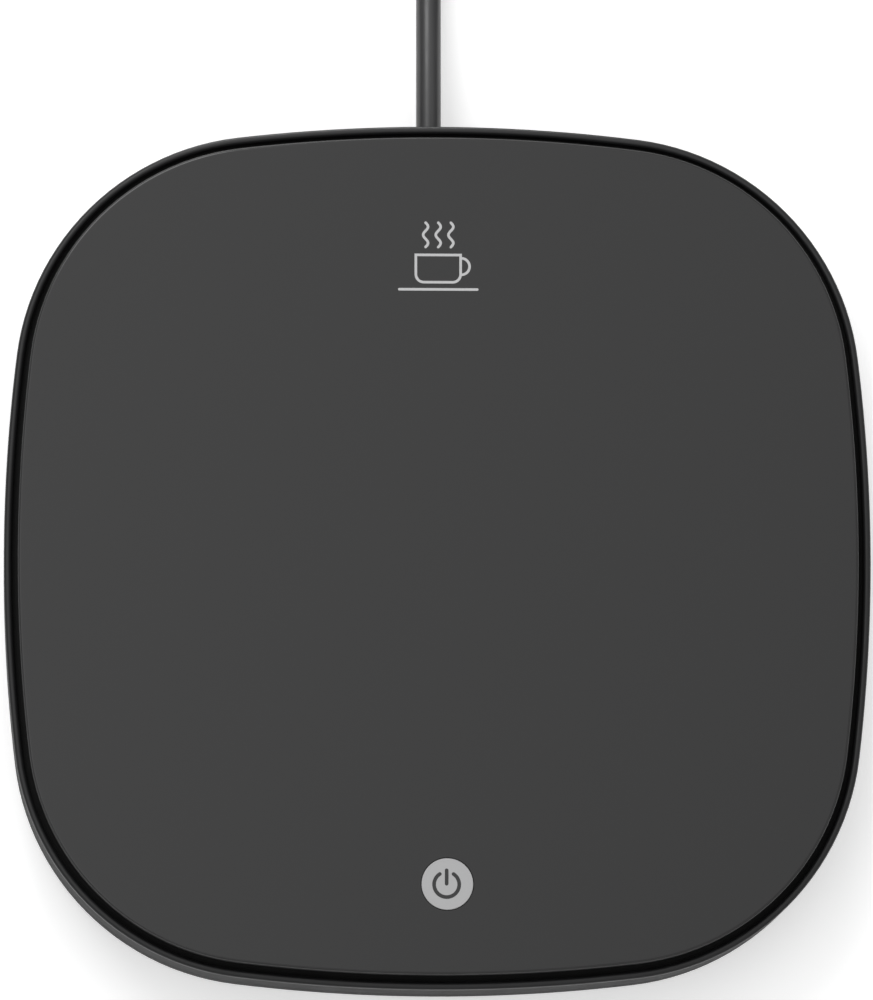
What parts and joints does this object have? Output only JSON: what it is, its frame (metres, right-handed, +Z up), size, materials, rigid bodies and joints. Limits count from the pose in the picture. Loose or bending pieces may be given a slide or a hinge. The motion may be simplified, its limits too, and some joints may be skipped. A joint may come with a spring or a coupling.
{
  "type": "electric mug warmer",
  "caption": "Flat rounded-square electric mug warmer with a dark glass top, raised black rim, flush power key and coiled low-voltage cord.",
  "frame": {"origin": "on the table under the middle of the housing, level with the undersides of the rubber feet", "axes": "+Z up through the glass, +Y towards the back, where the cord leaves, +X to the right seen from the front"},
  "size_m": [0.12, 0.2103, 0.022],
  "materials": {
    "black_housing": "fine moulded texture, satin",
    "dark_glass": "dark tempered glass, smooth, opaque from the print beneath",
    "black_foam": "closed-cell foam tape",
    "grey_bond": "soft heat-conducting silicone",
    "bare_aluminium": "rolled sheet",
    "amber_film": "polyimide film",
    "white_felt": "needled fibre felt",
    "plated_steel": "zinc plated sheet",
    "glass_bead": "epoxy coated bead",
    "zinc_screws": "zinc plated",
    "black_screws": "black oxide",
    "fuse_can": "tinned can",
    "rubber": "matt moulded rubber",
    "green_board": "solder mask over glass fibre",
    "chip_black": "moulded epoxy",
    "can_aluminium": "drawn can",
    "clear_lens": "clear resin",
    "white_nylon": "natural nylon",
    "silver_key": "silver-grey satin",
    "spring_steel": "drawn wire",
    "cord_jacket": "satin extruded jacket",
    "tie_strap": "hook and loop strap",
    "nickel_shell": "nickel plated",
    "plug_insert": "white moulded insert",
    "gold_contacts": "gold plated",
    "wire_red": "silicone insulation",
    "wire_white": "glass braid and silicone",
    "wire_black": "silicone insulation"
  },
  "bodies": {
    "housing": {"base_screws": "black_screws", "board_capacitors": "can_aluminium", "board_resistors": "chip_black", "board_screws": "zinc_screws", "clamp_screws": "zinc_screws", "coil_tie": "tie_strap", "control_board": "green_board", "controller_chip": "chip_black", "cord_clamp": "black_housing", "cord_coil": "cord_jacket", "cord_end": "cord_jacket", "cord_grommet": "rubber", "cord_jacket": "cord_jacket", "cord_lead": "cord_jacket", "fuse_clip": "plated_steel", "fuse_wires": "wire_white", "glass_gasket": "black_foam", "heat_spreader": "bare_aluminium", "heater_connector": "white_nylon", "heater_retainer": "plated_steel", "heater_wire": "wire_white", "heating_film": "amber_film", "indicator_light": "clear_lens", "insulation_pad": "white_felt", "key_guide": "white_nylon", "key_seal": "rubber", "key_spring": "spring_steel", "lower_housing": "black_housing", "plug_body": "cord_jacket", "plug_contacts": "gold_contacts", "plug_insert": "plug_insert", "plug_shell": "nickel_shell", "power_transistor": "chip_black", "retainer_screws": "zinc_screws", "rubber_feet": "rubber", "sensor_connector": "white_nylon", "sensor_wires": "wire_black", "spreader_bond": "grey_bond", "supply_connector": "white_nylon", "supply_wires": "wire_red", "switch_body": "black_housing", "temperature_sensor": "glass_bead", "thermal_fuse": "fuse_can", "top_glass": "dark_glass", "upper_housing": "black_housing"},
    "key": {"power_key": "silver_key", "switch_plunger": "chip_black"}
  },
  "joints": [
    {"name": "power_key_press", "type": "slide", "parent": "housing", "child": "key", "axis": [0, 0, -1], "range_m": [0, 0.0005], "stiffness_N_per_m": 400, "deforming": ["key_spring"]}
  ]
}
